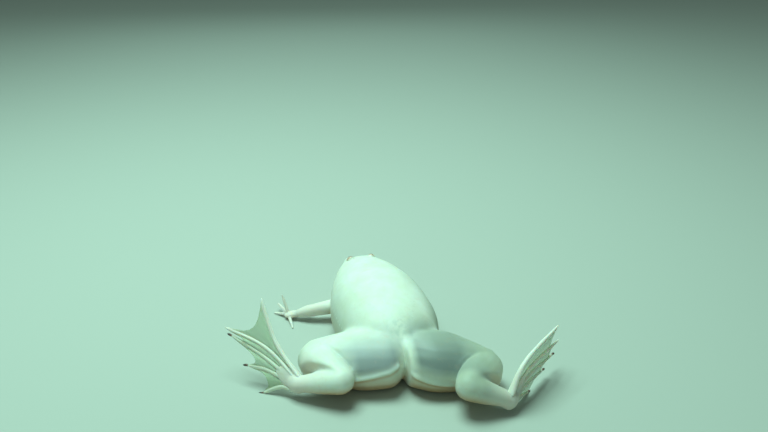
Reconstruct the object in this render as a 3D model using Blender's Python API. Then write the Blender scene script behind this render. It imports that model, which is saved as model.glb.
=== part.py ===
"""An albino African clawed frog at rest, life size: the solids of the still model.

The head looks along +Y, +Z is up and the floor is at Z = 0. Sizes are millimetres, measured
forward from the vent; MM turns them into metres as each mesh is made. Each finished node is
then moved so that the origin is the middle of the belly's flat on the floor.
"""

import math

import bmesh
import bpy
from mathutils import Matrix, Vector

MM = 0.001
GAP = 0.3  # clearance that neighbouring solids keep

# The body, from the vent to the snout: how far forward, half width, belly, widest level, back.
SNOUT_VENT_LENGTH = 90.0
BELLY_MIDDLE_Y = 38.0
BODY_ROWS = (
    (0.0, 4.5, 13.0, 16.0, 19.0),
    (4.0, 11.0, 8.0, 15.0, 23.2),
    (12.0, 19.0, 3.2, 13.0, 28.4),
    (24.0, 23.8, 0.2, 11.5, 32.2),
    (36.0, 24.6, -0.5, 11.5, 34.0),
    (48.0, 24.0, -0.2, 12.0, 34.4),
    (58.0, 22.0, 1.6, 13.2, 33.6),
    (67.0, 18.9, 4.8, 14.8, 32.2),
    (76.0, 14.9, 8.4, 16.8, 30.0),
    (83.0, 10.8, 11.6, 18.2, 27.2),
    (88.0, 6.8, 14.6, 19.0, 23.6),
    (90.0, 1.6, 17.6, 18.8, 20.0),
)
BODY_TURN = 2.8  # degrees that the head and trunk swing to the frog's left
TURN_Y = 30.0
BACK_SQUARENESS = 2.15
BELLY_SQUARENESS = 2.7
NECK_Y = 64.0
BODY_RINGS = 36
BODY_SIDES = 32
END_INSET = 0.35  # how far the first and last ring stay from the body's ends

# Hind legs. Joints are (right, forward, up); each leg rests as the photo shows it.
THIGH_ROWS = ((0.0, 16.0, 12.2), (0.35, 17.0, 12.9), (0.7, 13.6, 11.4), (1.0, 9.6, 9.3))
SHANK_ROWS = ((0.0, 8.6, 8.6), (0.3, 9.8, 9.5), (0.65, 8.6, 8.4), (1.0, 6.4, 6.2))
TARSUS_ROWS = ((0.0, 6.2, 5.8), (0.4, 5.6, 5.0), (1.0, 3.9, 3.2))
KNEE_SHARE = 0.3  # how far round from shank to thigh the knee's fold lies
LEGS = {
    "left": {
        "hip": (-6.0, 4.2, 10.8), "knee": (-38.5, 13.8, 9.6),
        "ankle": (-31.6, -9.8, 11.6), "instep": (-49.7, 0.0, 6.8),
    },
    "right": {
        "hip": (6.0, 2.6, 10.8), "knee": (34.6, -12.4, 9.6),
        "ankle": (21.0, -30.4, 13.2), "instep": (39.2, -33.4, 5.8),
    },
}

# Feet. Each fan of toes lies in one plane that faces FAN_FACING (turn and rise in degrees).
# Toes run from the short first one at the bottom to the raised fifth: middle and tip, as
# (outwards, upwards) in that plane from the instep.
FAN_FACING = {"left": (-38.0, 27.0), "right": (40.0, -4.0)}
TOES = {
    "left": (
        ((7.3, -3.0), (15.7, -7.6)),
        ((15.5, 2.8), (26.5, 2.7)),
        ((18.5, 8.2), (37.9, 14.2)),
        ((19.0, 12.6), (42.2, 17.2)),
        ((14.0, 15.6), (26.0, 34.0)),
    ),
    "right": (
        ((9.0, -3.6), (17.7, -5.4)),
        ((14.6, 0.4), (31.0, -0.6)),
        ((15.6, 4.4), (40.0, 3.4)),
        ((13.6, 8.4), (45.5, 9.0)),
        ((8.6, 14.4), (42.0, 18.4)),
    ),
}
TOE_ROWS = ((0.0, 0.75, 2.1), (0.14, 1.0, 1.5), (0.5, 1.05, 1.0), (0.8, 0.85, 0.8), (1.0, 0.45, 0.45))
TOE_SPACING = 1.8
TOE_STEP = 0.02  # how far to look along a toe for its direction
WEB_HALF = 0.28
WEB_BILLOW = 1.2
WEB_REACH = ((0.80, 0.76, 0.10), (0.88, 0.80, 0.12), (0.88, 0.84, 0.08), (0.80, 0.95, 0.10))
ROOT_HALF, ROOT_SPAN = 2.1, 0.2
ROOT_BEHIND, ROOT_AHEAD = 1.5, 3.0
ROOT_ROWS = ((0.0, 4.0, 3.2), (1.0, 3.6, 2.2))
FOOT_ROWS = 14
CLAWED_TOES = 3
CLAW_LENGTH, CLAW_RADIUS, CLAW_SIDES = 2.4, 0.54, 10

# Arms: shoulder, elbow, wrist, palm and the tips of four fingers.
UPPER_ARM_ROWS = ((0.0, 4.4, 4.2), (0.5, 3.9, 3.7), (1.0, 3.4, 3.3))
FOREARM_ROWS = ((0.0, 3.3, 3.2), (0.35, 3.5, 3.2), (1.0, 2.2, 1.9))
PALM_ROWS = ((0.0, 2.2, 1.6), (0.5, 2.9, 1.6), (1.0, 2.7, 1.3))
FINGER_ROWS = ((0.0, 0.95, 0.9), (0.6, 0.75, 0.7), (1.0, 0.45, 0.45))
ARMS = {
    "left": {
        "shoulder": (-14.0, 64.0, 9.6), "elbow": (-30.3, 67.8, 6.0),
        "wrist": (-38.9, 70.9, 3.4), "palm": (-43.0, 73.0, 2.3),
        "fingers": ((-42.6, 61.6, 0.35), (-49.6, 80.0, 0.35), (-47.0, 84.0, 3.6), (-45.4, 77.9, 11.6)),
    },
    "right": {
        "shoulder": (13.0, 63.0, 9.6), "elbow": (24.5, 67.0, 5.6),
        "wrist": (22.0, 82.0, 3.4), "palm": (20.4, 86.4, 2.3),
        "fingers": ((11.6, 92.6, 0.35), (16.0, 97.4, 0.35), (21.6, 97.8, 0.35), (27.0, 93.6, 0.35)),
    },
}

# Head details.
EYE_AT = (5.5, 79.0, 27.1)
EYE_RADIUS = 2.3
BROW_RADII = (3.7, 4.4, 2.0)
BROW_SINK = 0.8
NOSTRIL_AT = (1.7, 86.6, 24.7)
NOSTRIL_RADIUS = 0.55
MOUTH_HALF, MOUTH_DEPTH, MOUTH_BACK_Y = 0.3, 0.9, 70.0
MOUTH_Z_FRONT, MOUTH_Z_BACK = 17.2, 14.2
VENT_AT, VENT_RADII = (0.0, -0.6, 15.0), (1.7, 2.2, 1.9)

LIMB_SIDES = 18
LIMB_RINGS = 10
WELD = 0.002
CUT_TOLERANCE = 1e-7

SKIN = (0.86, 0.84, 0.74)
LIMB_SKIN = (0.84, 0.77, 0.70)
WEB_SKIN = (0.80, 0.72, 0.64)
EYE_RED = (0.55, 0.10, 0.10)
CLAW_DARK = (0.10, 0.05, 0.045)


def spline(rows, x):
    """All columns of the rows at x, on one smooth curve through them; the first column is x."""
    last = len(rows) - 1
    i = max(0, min(last - 1, sum(1 for r in rows if r[0] <= x) - 1))
    x0, x1 = rows[i][0], rows[i + 1][0]
    t = (x - x0) / (x1 - x0)
    out = []
    for c in range(1, len(rows[0])):
        def slope(k):
            if k == 0 or k == last:
                a, b = (0, 1) if k == 0 else (last - 1, last)
            else:
                a, b = k - 1, k + 1
            return (rows[b][c] - rows[a][c]) / (rows[b][0] - rows[a][0])
        m0, m1 = slope(i) * (x1 - x0), slope(i + 1) * (x1 - x0)
        p0, p1 = rows[i][c], rows[i + 1][c]
        out.append(
            (2 * t**3 - 3 * t**2 + 1) * p0 + (t**3 - 2 * t**2 + t) * m0
            + (3 * t**2 - 2 * t**3) * p1 + (t**3 - t**2) * m1
        )
    return out


def power(value, exponent):
    """The signed power that rounds a superellipse."""
    return math.copysign(abs(value) ** exponent, value)


def mesh_object(name, verts, faces):
    """A new object in the scene from points in millimetres."""
    mesh = bpy.data.meshes.new(name)
    mesh.from_pydata([Vector(v) * MM for v in verts], [], faces)
    mesh.validate()
    obj = bpy.data.objects.new(name, mesh)
    bpy.context.scene.collection.objects.link(obj)
    return obj


def loft(name, rings, start, end):
    """A closed body over rings of equal count, with a point at each end."""
    sides = len(rings[0])
    verts = [p for ring in rings for p in ring] + [start, end]
    faces = []
    for r in range(len(rings) - 1):
        for s in range(sides):
            a, b = r * sides + s, r * sides + (s + 1) % sides
            faces.append((a, b, b + sides, a + sides))
    first, final = len(verts) - 2, len(verts) - 1
    base = (len(rings) - 1) * sides
    for s in range(sides):
        faces.append((first, (s + 1) % sides, s))
        faces.append((final, base + s, base + (s + 1) % sides))
    obj = mesh_object(name, verts, faces)
    bm = bmesh.new()
    bm.from_mesh(obj.data)
    bmesh.ops.recalc_face_normals(bm, faces=bm.faces)
    bm.to_mesh(obj.data)
    bm.free()
    return obj


def eased(i, count, ends=0.55):
    """Fraction i of count, drawn towards both ends so that they stay round."""
    t = i / count
    return (1 - ends) * t + ends * (1 - math.cos(math.pi * t)) / 2


def body_ring(y, grow):
    """One cross-section of the head and torso at y, grown all round."""
    half, belly, widest, back = spline(BODY_ROWS, y)
    ring = []
    for s in range(BODY_SIDES):
        a = 2 * math.pi * s / BODY_SIDES
        c, d = math.cos(a), math.sin(a)
        n = BACK_SQUARENESS if d > 0 else BELLY_SQUARENESS
        rise = back - widest if d > 0 else widest - belly
        ring.append((
            (half + grow) * power(c, 2 / n),
            y,
            widest + (rise + grow) * power(d, 2 / n),
        ))
    return ring


def body(name, grow=0.0):
    """Head and torso in one piece, or a copy of it grown by a clearance."""
    run = SNOUT_VENT_LENGTH - 2 * END_INSET
    ys = [END_INSET + run * eased(i, BODY_RINGS) for i in range(BODY_RINGS + 1)]
    rings = [body_ring(y, grow) for y in ys]
    vent, snout = spline(BODY_ROWS, 0.0), spline(BODY_ROWS, SNOUT_VENT_LENGTH)
    return loft(name, rings, (0, -grow, vent[2]), (0, SNOUT_VENT_LENGTH + grow, snout[2]))


def limb(name, a, b, rows, before, after, sides=LIMB_SIDES, steps=LIMB_RINGS, dome=5):
    """A round limb from joint a to joint b, with domed ends that pass the joints."""
    a, b = Vector(a), Vector(b)
    axis = (b - a).normalized()
    side = axis.cross(Vector((0, 0, 1))).normalized()
    up = side.cross(axis).normalized()
    length = (b - a).length
    rings = []

    def ring(centre, wide, tall):
        pts = []
        for s in range(sides):
            t = 2 * math.pi * s / sides
            pts.append(centre + side * (wide * math.cos(t)) + up * (tall * math.sin(t)))
        return pts

    first, final = spline(rows, 0.0), spline(rows, 1.0)
    for k in range(1, dome):
        t = math.pi / 2 * k / dome
        centre = a - axis * before * math.cos(t)
        rings.append(ring(centre, first[0] * math.sin(t), first[1] * math.sin(t)))
    for k in range(steps + 1):
        f = k / steps
        wide, tall = spline(rows, f)
        rings.append(ring(a + axis * length * f, wide, tall))
    for k in range(dome - 1, 0, -1):
        t = math.pi / 2 * k / dome
        centre = b + axis * after * math.cos(t)
        rings.append(ring(centre, final[0] * math.sin(t), final[1] * math.sin(t)))
    return loft(name, rings, a - axis * before, b + axis * after)


def keep_side(obj, point, normal, clearance=GAP / 2):
    """Cuts obj by a plane and keeps what lies on the normal's side, a little away from the plane."""
    n = Vector(normal).normalized()
    bm = bmesh.new()
    bm.from_mesh(obj.data)
    geom = bm.verts[:] + bm.edges[:] + bm.faces[:]
    cut = bmesh.ops.bisect_plane(
        bm,
        geom=geom,
        dist=CUT_TOLERANCE,
        plane_co=(Vector(point) + n * clearance) * MM,
        plane_no=n,
        clear_inner=True,
    )
    rim = [e for e in cut["geom_cut"] if isinstance(e, bmesh.types.BMEdge)]
    if rim:
        bmesh.ops.holes_fill(bm, edges=rim, sides=0)
        bmesh.ops.recalc_face_normals(bm, faces=bm.faces)
    bm.to_mesh(obj.data)
    bm.free()


def boolean(obj, other, operation):
    """Joins or cuts obj by other, applies it and removes other."""
    mod = obj.modifiers.new(operation, "BOOLEAN")
    mod.operation = operation
    mod.object = other
    mod.solver = "EXACT"
    bpy.context.view_layer.update()
    mesh = bpy.data.meshes.new_from_object(obj.evaluated_get(bpy.context.evaluated_depsgraph_get()))
    obj.modifiers.remove(mod)
    bm = bmesh.new()
    bm.from_mesh(mesh)
    bmesh.ops.triangulate(bm, faces=bm.faces)
    bmesh.ops.dissolve_degenerate(bm, dist=WELD * MM, edges=bm.edges)
    bmesh.ops.remove_doubles(bm, verts=bm.verts, dist=WELD * MM)
    bm.to_mesh(mesh)
    bm.free()
    obj.data = mesh
    bpy.data.objects.remove(other)


def ellipsoid(name, at, radii, segments=20, rings=12):
    """A closed round solid with three radii."""
    bpy.ops.mesh.primitive_uv_sphere_add(segments=segments, ring_count=rings, radius=MM)
    obj = bpy.context.object
    obj.name = name
    for v in obj.data.vertices:
        v.co = Vector([v.co[i] * radii[i] + at[i] * MM for i in range(3)])
    return obj


def turned(obj):
    """Swings a piece of the head or trunk, made straight ahead, to where the body points."""
    pivot = Matrix.Translation((0.0, TURN_Y * MM, 0.0))
    obj.data.transform(pivot @ Matrix.Rotation(math.radians(BODY_TURN), 4, "Z") @ pivot.inverted())
    return obj


def torso_cutter(grow):
    """The head, torso and vent grown by a clearance, to cut what meets them."""
    cutter = body("cutter", grow)
    boolean(cutter, ellipsoid("vent", VENT_AT, [r + grow for r in VENT_RADII], 12, 8), "UNION")
    return turned(cutter)


def build_leg(side, joints):
    """Thigh, shank and tarsus of one hind leg."""
    hip, knee, ankle, instep = (Vector(joints[k]) for k in ("hip", "knee", "ankle", "instep"))
    out = Vector((-1 if side == "left" else 1, 0, 0))
    thigh = limb(f"thigh_{side}", hip, knee, THIGH_ROWS, 8.0, 8.0)
    shank = limb(f"shank_{side}", knee, ankle, SHANK_ROWS, 8.0, 6.0)
    tarsus = limb(f"tarsus_{side}", ankle, instep, TARSUS_ROWS, 5.6, 3.0)
    to_hip, to_ankle = (hip - knee).normalized(), (ankle - knee).normalized()
    between = to_ankle.slerp(to_hip, KNEE_SHARE)
    fold = to_hip - between * to_hip.dot(between)
    keep_side(thigh, knee, fold)
    keep_side(shank, knee, -fold)
    fold = (knee - ankle).normalized() - (instep - ankle).normalized()
    keep_side(shank, ankle, fold)
    keep_side(tarsus, ankle, -fold)
    keep_side(thigh, (0, 0, 0), out)
    boolean(thigh, torso_cutter(GAP), "DIFFERENCE")
    foot, fold = build_foot(side, ankle, instep)
    keep_side(tarsus, instep, -fold)
    keep_side(foot, instep, fold)
    return [thigh, shank, tarsus, foot]


def fan_frame(side):
    """Outward, upward and facing directions of a foot's plane."""
    turn, rise = (math.radians(v) for v in FAN_FACING[side])
    level = math.cos(rise)
    facing = Vector((math.sin(turn) * level, -math.cos(turn) * level, math.sin(rise)))
    outward = Vector((facing.y, -facing.x, 0.0)).normalized()
    if (outward.x < 0) != (side == "left"):
        outward.negate()
    upward = outward.cross(facing)
    if upward.z < 0:
        upward.negate()
    return outward, upward, facing


def toe_curve(side, instep, k, v):
    """The middle line of a toe and its direction at fraction v."""
    outward, upward, _ = fan_frame(side)
    middles = [Vector(t[0]) for t in TOES[side]]
    forward = sum(middles, Vector((0, 0))).normalized()
    across = Vector((-forward.y, forward.x))
    root = across * (TOE_SPACING * (k - 2)) - forward
    mid, tip = (Vector(p) for p in TOES[side][k])
    first, second = (mid - root).length, (tip - mid).length
    rows = ((0.0, *root), (first / (first + second), *mid), (1.0, *tip))
    flat = Vector(spline(rows, v))
    near = Vector(spline(rows, max(0.0, v - TOE_STEP)))
    far = Vector(spline(rows, min(1.0, v + TOE_STEP)))
    along = (far - near).normalized()
    point = instep + outward * flat.x + upward * flat.y
    return point, outward * along.x + upward * along.y


def foot_columns(side, instep):
    """Columns of (point, half thickness) across the fan of toes and webs."""
    outward, upward, facing = fan_frame(side)
    count = len(TOES[side])

    def toe_at(k, v):
        point, along = toe_curve(side, instep, k, v)
        sideways = facing.cross(along).normalized()
        if sideways.dot(upward) < 0:
            sideways.negate()
        return point, sideways

    columns = []
    for k in range(count):
        for offset in (-1.0, -0.6, 0.0, 0.6, 1.0):
            column = []
            for r in range(FOOT_ROWS + 1):
                v = r / FOOT_ROWS
                point, sideways = toe_at(k, v)
                wide, tall = spline(TOE_ROWS, v)
                half = max(WEB_HALF, tall * math.sqrt(max(0.0, 1 - offset * offset)))
                column.append((point + sideways * (wide * offset), max(half, root_half(v))))
            columns.append(column)
        if k == count - 1:
            break
        for w in (0.3, 0.7):
            column = []
            for r in range(FOOT_ROWS + 1):
                bulge = 4 * w * (1 - w)
                v = r / FOOT_ROWS
                first, second, sag = WEB_REACH[k]
                v_low, v_high = v * (first - sag * bulge), v * (second - sag * bulge)
                low, up = toe_at(k, v_low)
                high, down = toe_at(k + 1, v_high)
                low = low + up * spline(TOE_ROWS, v_low)[0]
                high = high - down * spline(TOE_ROWS, v_high)[0]
                point = low.lerp(high, w) + facing * (WEB_BILLOW * bulge * v * v)
                column.append((point, max(WEB_HALF, root_half(v))))
            columns.append(column)
    return columns, facing


def root_half(v):
    """Half thickness of the fleshy base of the foot at fraction v."""
    return ROOT_HALF * (1 - v / ROOT_SPAN) if v < ROOT_SPAN else 0.0


def build_foot(side, ankle, instep):
    """One foot: toes raised in a webbed sheet alike on both faces, on a short fleshy root."""
    columns, facing = foot_columns(side, instep)
    count, rows = len(columns), FOOT_ROWS + 1
    verts = []
    for sign in (1, -1):
        for column in columns:
            verts += [point + facing * (half * sign) for point, half in column]

    def at(face, c, r):
        return face * count * rows + c * rows + r

    faces = []
    for c in range(count - 1):
        for r in range(rows - 1):
            quad = [(c, r), (c + 1, r), (c + 1, r + 1), (c, r + 1)]
            faces.append([at(0, *q) for q in quad])
            faces.append([at(1, *q) for q in reversed(quad)])
    border = [(c, 0) for c in range(count)] + [(count - 1, r) for r in range(1, rows)]
    border += [(c, rows - 1) for c in range(count - 2, -1, -1)]
    border += [(0, r) for r in range(rows - 2, 0, -1)]
    for i, here in enumerate(border):
        there = border[(i + 1) % len(border)]
        faces.append([at(0, *there), at(0, *here), at(1, *here), at(1, *there)])
    foot = mesh_object(f"foot_{side}", verts, faces)
    bm = bmesh.new()
    bm.from_mesh(foot.data)
    bmesh.ops.recalc_face_normals(bm, faces=bm.faces)
    bmesh.ops.triangulate(bm, faces=bm.faces)
    bm.to_mesh(foot.data)
    bm.free()
    forward = Vector()
    for k in range(len(TOES[side])):
        forward += toe_curve(side, instep, k, 0.0)[1]
    forward.normalize()
    start, end = instep - forward * ROOT_BEHIND, instep + forward * ROOT_AHEAD
    boolean(foot, limb("root", start, end, ROOT_ROWS, 2.0, 2.5), "UNION")
    fold = forward - (ankle - instep).normalized()
    return foot, fold


def build_claws(side, instep):
    """The dark claws that cap the three inner toes."""
    claws = []
    for k in range(CLAWED_TOES):
        point, along = toe_curve(side, instep, k, 1.0)
        start = point + along * GAP
        droop = Vector((0, 0, -0.18)) * CLAW_LENGTH
        rings = []
        side_way = along.orthogonal().normalized()
        up = along.cross(side_way)
        for f, size in ((0.0, 0.9), (0.3, 1.0), (0.7, 0.55)):
            centre = start + along * (CLAW_LENGTH * f) + droop * (f * f)
            rings.append([
                centre + (side_way * math.cos(t) + up * math.sin(t)) * (CLAW_RADIUS * size)
                for t in (2 * math.pi * s / CLAW_SIDES for s in range(CLAW_SIDES))
            ])
        claws.append(loft(f"claw_{side}_{k + 1}", rings, start, start + along * CLAW_LENGTH + droop))
    return claws


def build_arm(side, joints):
    """Upper arm, forearm and hand."""
    shoulder, elbow, wrist, palm = (Vector(joints[k]) for k in ("shoulder", "elbow", "wrist", "palm"))
    upper = limb(f"upper_arm_{side}", shoulder, elbow, UPPER_ARM_ROWS, 3.0, 3.0)
    forearm = limb(f"forearm_{side}", elbow, wrist, FOREARM_ROWS, 3.0, 1.5)
    hand = limb(f"hand_{side}", wrist, palm, PALM_ROWS, 1.5, 2.2, 14, 4, 4)
    fold = (shoulder - elbow).normalized() - (wrist - elbow).normalized()
    keep_side(upper, elbow, fold)
    keep_side(forearm, elbow, -fold)
    fold = (elbow - wrist).normalized() - (palm - wrist).normalized()
    keep_side(forearm, wrist, fold)
    for tip in joints["fingers"]:
        tip = Vector(tip)
        start = palm.lerp(tip, 0.06)
        boolean(hand, limb("finger", start, tip, FINGER_ROWS, 0.8, 0.45, 10, 5, 3), "UNION")
    keep_side(hand, wrist, -fold)
    boolean(upper, torso_cutter(GAP), "DIFFERENCE")
    return [upper, forearm, hand]


def build_head():
    """Head with sockets, mouth line and nostrils, and the two eyes."""
    head = body("head")
    keep_side(head, (0, NECK_Y, 0), (0, 1, 0))
    x, y, z = EYE_AT
    eyes = []
    for side, sign in (("left", -1), ("right", 1)):
        boolean(head, ellipsoid("brow", (x * sign, y, z - BROW_SINK), BROW_RADII), "UNION")
        socket = [EYE_RADIUS + GAP] * 3
        boolean(head, ellipsoid("socket", (x * sign, y, z), socket), "DIFFERENCE")
        eyes.append(ellipsoid(f"eye_{side}", (x * sign, y, z), [EYE_RADIUS] * 3, 16, 10))
        nostril = [NOSTRIL_RADIUS] * 3
        at = (NOSTRIL_AT[0] * sign, NOSTRIL_AT[1], NOSTRIL_AT[2])
        boolean(head, ellipsoid("nostril", at, nostril, 10, 6), "DIFFERENCE")
    slope = (MOUTH_Z_FRONT - MOUTH_Z_BACK) / (SNOUT_VENT_LENGTH - MOUTH_BACK_Y)
    corners = []
    for lift in (-MOUTH_HALF, MOUTH_HALF):
        for px, py in ((-30, MOUTH_BACK_Y), (30, MOUTH_BACK_Y), (30, 100), (-30, 100)):
            corners.append((px, py, MOUTH_Z_BACK + slope * (py - MOUTH_BACK_Y) + lift))
    sides = [(0, 1, 5, 4), (1, 2, 6, 5), (2, 3, 7, 6), (3, 0, 4, 7)]
    slab = mesh_object("mouth", corners, [(3, 2, 1, 0), (4, 5, 6, 7)] + sides)
    boolean(slab, body("inner", -MOUTH_DEPTH), "DIFFERENCE")
    boolean(head, slab, "DIFFERENCE")
    return [turned(obj) for obj in [head] + eyes]


def build_torso():
    """Torso from the neck to the vent."""
    torso = body("torso")
    boolean(torso, ellipsoid("vent", VENT_AT, VENT_RADII, 12, 8), "UNION")
    keep_side(torso, (0, NECK_Y, 0), (0, -1, 0))
    return turned(torso)


def largest_piece(obj):
    """Keeps the largest closed surface of obj."""
    bm = bmesh.new()
    bm.from_mesh(obj.data)
    unseen = set(bm.verts)
    pieces = []
    while unseen:
        stack = [unseen.pop()]
        piece = list(stack)
        while stack:
            for edge in stack.pop().link_edges:
                for v in edge.verts:
                    if v in unseen:
                        unseen.discard(v)
                        piece.append(v)
                        stack.append(v)
        pieces.append(piece)
    pieces.sort(key=len)
    bmesh.ops.delete(bm, geom=[v for piece in pieces[:-1] for v in piece], context="VERTS")
    bm.to_mesh(obj.data)
    bm.free()


def finish(obj, colour):
    """Cuts the flats at floor level, keeps one closed surface, and gives the node its own material."""
    keep_side(obj, (0, 0, 0), (0, 0, 1), 0.0)
    largest_piece(obj)
    obj.data.transform(Matrix.Translation((0.0, -BELLY_MIDDLE_Y * MM, 0.0)))
    obj.data.polygons.foreach_set("use_smooth", [True] * len(obj.data.polygons))
    material = bpy.data.materials.new(f"{obj.name}_material")
    material.use_nodes = True
    shader = material.node_tree.nodes["Principled BSDF"]
    shader.inputs["Base Color"].default_value = (*colour, 1.0)
    shader.inputs["Roughness"].default_value = 0.4
    obj.data.materials.clear()
    obj.data.materials.append(material)


def main():
    """Clears the scene and builds every node."""
    for obj in list(bpy.data.objects):
        bpy.data.objects.remove(obj)
    head, *eyes = build_head()
    finish(head, SKIN)
    for eye in eyes:
        finish(eye, EYE_RED)
    finish(build_torso(), SKIN)
    for side in ("left", "right"):
        thigh, shank, tarsus, foot = build_leg(side, LEGS[side])
        for obj in (thigh, shank):
            finish(obj, SKIN)
        finish(tarsus, LIMB_SKIN)
        finish(foot, WEB_SKIN)
        for obj in build_arm(side, ARMS[side]):
            finish(obj, LIMB_SKIN)
        for obj in build_claws(side, Vector(LEGS[side]["instep"])):
            finish(obj, CLAW_DARK)


main()
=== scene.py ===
"""Looks of a life-size albino African clawed frog at rest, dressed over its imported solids.

The head looks along +Y, +Z is up, and the origin is the middle of the belly's flat on the floor.
Lengths in the classes are millimetres unless a name says otherwise, and places are measured to the
frog's right, forward from its vent and up from the floor.
"""

import logging
import math
from dataclasses import dataclass, field
from enum import Enum
from typing import Any, Callable, Sequence

import bpy
import numpy as np
from mathutils import Euler, Matrix, Vector
from mathutils.bvhtree import BVHTree

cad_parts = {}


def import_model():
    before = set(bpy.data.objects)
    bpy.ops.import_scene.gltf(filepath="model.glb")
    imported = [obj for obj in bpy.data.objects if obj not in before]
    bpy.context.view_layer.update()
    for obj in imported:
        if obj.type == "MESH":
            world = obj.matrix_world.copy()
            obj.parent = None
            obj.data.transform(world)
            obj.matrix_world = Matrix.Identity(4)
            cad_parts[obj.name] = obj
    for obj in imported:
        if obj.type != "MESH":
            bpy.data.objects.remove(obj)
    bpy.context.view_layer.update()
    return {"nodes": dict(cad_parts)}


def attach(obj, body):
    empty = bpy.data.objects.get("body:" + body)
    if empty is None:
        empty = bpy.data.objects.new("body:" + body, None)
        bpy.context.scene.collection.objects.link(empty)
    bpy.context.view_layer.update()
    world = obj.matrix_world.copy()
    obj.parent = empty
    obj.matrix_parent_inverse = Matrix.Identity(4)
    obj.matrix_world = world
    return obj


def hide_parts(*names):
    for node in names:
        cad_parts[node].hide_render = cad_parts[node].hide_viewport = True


LOG = logging.getLogger("clawed_frog")
MM = 0.001
ROOT_BODY = "root"
VENT_TO_BELLY = 38.0  # the part measures forward from the vent; its origin is under the belly
BODY_TURN = math.radians(2.8)  # the head and trunk swing this far to the frog's left
TURN_Y = 30.0  # about an upright axis this far forward of the vent
EYE_AT = (5.5, 79.0, 27.1)  # middle of the right eye, which the left one mirrors
EYE_RADIUS = 2.3
FLOOR_GAP = 0.02  # nothing reaches lower than this hair above the floor
MERGE_GAP = 0.01  # the solids' triangles share their corners within this
FLESH_IOR = 1.38

Point = tuple[float, float, float]


class Side(Enum):
    """Which side of the frog a paired piece is on."""

    LEFT = "left"
    RIGHT = "right"

    @property
    def sign(self) -> int:
        """-1 on the frog's left, +1 on its right."""
        return -1 if self is Side.LEFT else 1


@dataclass(frozen=True)
class Ramp:
    """A share that rises in a straight line from 0 at one measure to 1 at another, flat beyond both."""

    start: float
    end: float

    def __call__(self, measure: np.ndarray) -> np.ndarray:
        """The share at each measure."""
        return np.clip((measure - self.start) / (self.end - self.start), 0, 1)


def bell(away: np.ndarray, width: float) -> np.ndarray:
    """A soft bump, 1 where away is 0 and all but gone at twice the width."""
    return np.exp(-(away / width) ** 2)


def distance(co: np.ndarray, at: Sequence[float]) -> np.ndarray:
    """How far each row of co lies from at, in their own unit."""
    return np.linalg.norm(co - np.array(at), axis=1)


def repeats(size_mm: float) -> float:
    """A texture's scale for features of this real size."""
    return 1000 / size_mm


def linear(hex_code: str) -> tuple[float, float, float, float]:
    """Turns an sRGB hex value to a linear colour.

    Args:
        hex_code: six hex digits.

    Returns:
        Linear red, green, blue and an alpha of one.
    """
    channels = [int(hex_code[i:i + 2], 16) / 255 for i in (0, 2, 4)]
    values = [c / 12.92 if c <= 0.04045 else ((c + 0.055) / 1.055) ** 2.4 for c in channels]
    return values[0], values[1], values[2], 1.0


def spline(rows: Sequence[Sequence[float]], x: float) -> list[float]:
    """Reads every column of the rows at x on one smooth curve.

    Args:
        rows: rows whose first column is the running value.
        x: where to read.

    Returns:
        The other columns at x.
    """
    last = len(rows) - 1
    i = max(0, min(last - 1, sum(1 for r in rows if r[0] <= x) - 1))
    x0, x1 = rows[i][0], rows[i + 1][0]
    t = (x - x0) / (x1 - x0)
    out = []
    for c in range(1, len(rows[0])):
        slopes = []
        for k in (i, i + 1):
            a, b = max(0, k - 1), min(last, k + 1)
            slopes.append((rows[b][c] - rows[a][c]) / (rows[b][0] - rows[a][0]) * (x1 - x0))
        p0, p1 = rows[i][c], rows[i + 1][c]
        out.append(
            (2 * t**3 - 3 * t**2 + 1) * p0 + (t**3 - 2 * t**2 + t) * slopes[0]
            + (3 * t**2 - 2 * t**3) * p1 + (t**3 - t**2) * slopes[1]
        )
    return out


def place(x: float, y: float, z: float) -> Vector:
    """A point measured from the vent in millimetres, as a place in the scene in metres."""
    return Vector((x, y - VENT_TO_BELLY, z)) * MM


def swing(x: Any, y: Any, angle: float) -> tuple[Any, Any]:
    """Turns a place, or arrays of them, about the upright axis through the trunk."""
    c, s = math.cos(angle), math.sin(angle)
    return c * x - s * (y - TURN_Y), s * x + c * (y - TURN_Y) + TURN_Y


def on_body(x: float, y: float, z: float) -> Vector:
    """A point measured on the straight body, as a place in the scene in metres."""
    return place(*swing(x, y, BODY_TURN), z)


def body_measure(co: np.ndarray) -> tuple[np.ndarray, np.ndarray, np.ndarray]:
    """Places in the scene as right, forward and up on the straight body, in millimetres."""
    x, y = swing(co[:, 0] / MM, co[:, 1] / MM + VENT_TO_BELLY, -BODY_TURN)
    return x, y, co[:, 2] / MM


def select_only(*objects: bpy.types.Object) -> None:
    """Selects some objects and nothing else.

    Args:
        objects: the objects, of which the first becomes the active one.
    """
    bpy.ops.object.select_all(action="DESELECT")
    for obj in objects:
        obj.select_set(True)
    bpy.context.view_layer.objects.active = objects[0]


def primitive(operator: Callable[..., Any], name: str, **settings: Any) -> bpy.types.Object:
    """Adds a simple shape to start a piece from.

    Args:
        operator: the operator that adds it.
        name: its name.
        settings: the operator's settings.

    Returns:
        The shape.
    """
    bpy.ops.object.select_all(action="DESELECT")
    operator(**settings)
    obj = bpy.context.object
    obj.name = name
    return obj


def duplicate(obj: bpy.types.Object) -> bpy.types.Object:
    """Copies a piece.

    Args:
        obj: the piece.

    Returns:
        A copy with a mesh of its own.
    """
    piece = obj.copy()
    piece.data = obj.data.copy()
    piece.parent = None
    bpy.context.scene.collection.objects.link(piece)
    return piece


def join(name: str, pieces: Sequence[bpy.types.Object]) -> bpy.types.Object:
    """Joins pieces into one.

    Args:
        name: the name of the whole.
        pieces: its pieces.

    Returns:
        The whole.
    """
    select_only(*pieces)
    bpy.ops.object.join()
    obj = bpy.context.object
    obj.name = name
    obj.data.name = name
    return obj


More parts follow.
